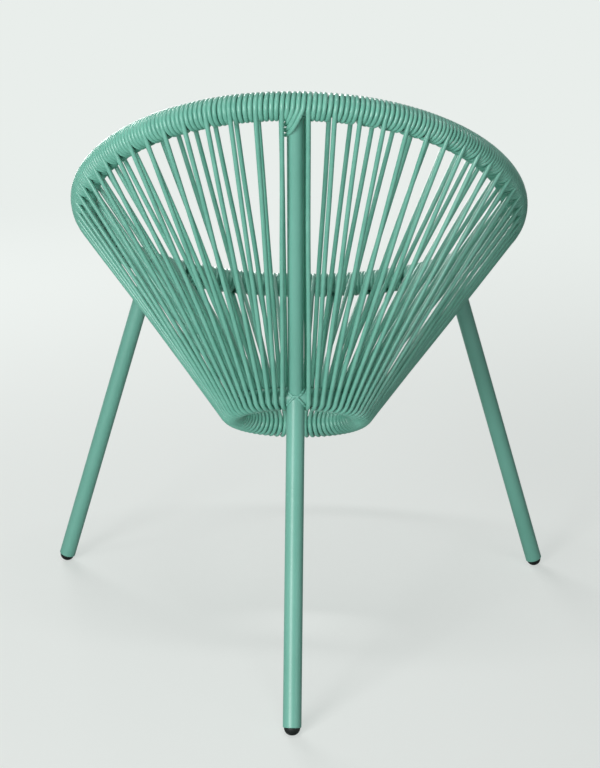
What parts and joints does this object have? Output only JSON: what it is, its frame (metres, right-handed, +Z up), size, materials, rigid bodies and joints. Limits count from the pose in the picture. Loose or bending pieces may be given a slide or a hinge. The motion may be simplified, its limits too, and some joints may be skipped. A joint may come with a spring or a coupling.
{
  "type": "string bucket chair",
  "caption": "Low-backed string bucket chair: cord wound round a tilted egg-shaped tube rim runs down to a small seat ring, on straight splayed tube legs with domed plugs.",
  "frame": {"origin": "on the floor, below the middle of the chair's overall box", "axes": "+Z up; the sitter faces -Y; +X is the sitter's left"},
  "size_m": [0.6838, 0.5906, 0.7477],
  "materials": {
    "frame": "satin powder coat",
    "cord": "smooth PVC cord",
    "plug": "moulded black plastic"
  },
  "bodies": {
    "root": {"rim_hoop": "frame", "seat_ring": "frame", "back_strut": "frame", "rear_leg": "frame", "front_leg_left": "frame", "front_leg_right": "frame", "foot_plug_rear": "plug", "foot_plug_left": "plug", "foot_plug_right": "plug", "cord_panel_01": "cord", "cord_panel_02": "cord", "cord_panel_03": "cord", "cord_panel_04": "cord", "cord_panel_05": "cord", "cord_panel_06": "cord", "cord_panel_07": "cord", "cord_panel_08": "cord", "cord_panel_09": "cord", "cord_panel_10": "cord", "cord_panel_11": "cord", "cord_panel_12": "cord", "cord_panel_13": "cord", "cord_panel_14": "cord", "cord_panel_15": "cord", "cord_panel_16": "cord"}
  },
  "joints": []
}
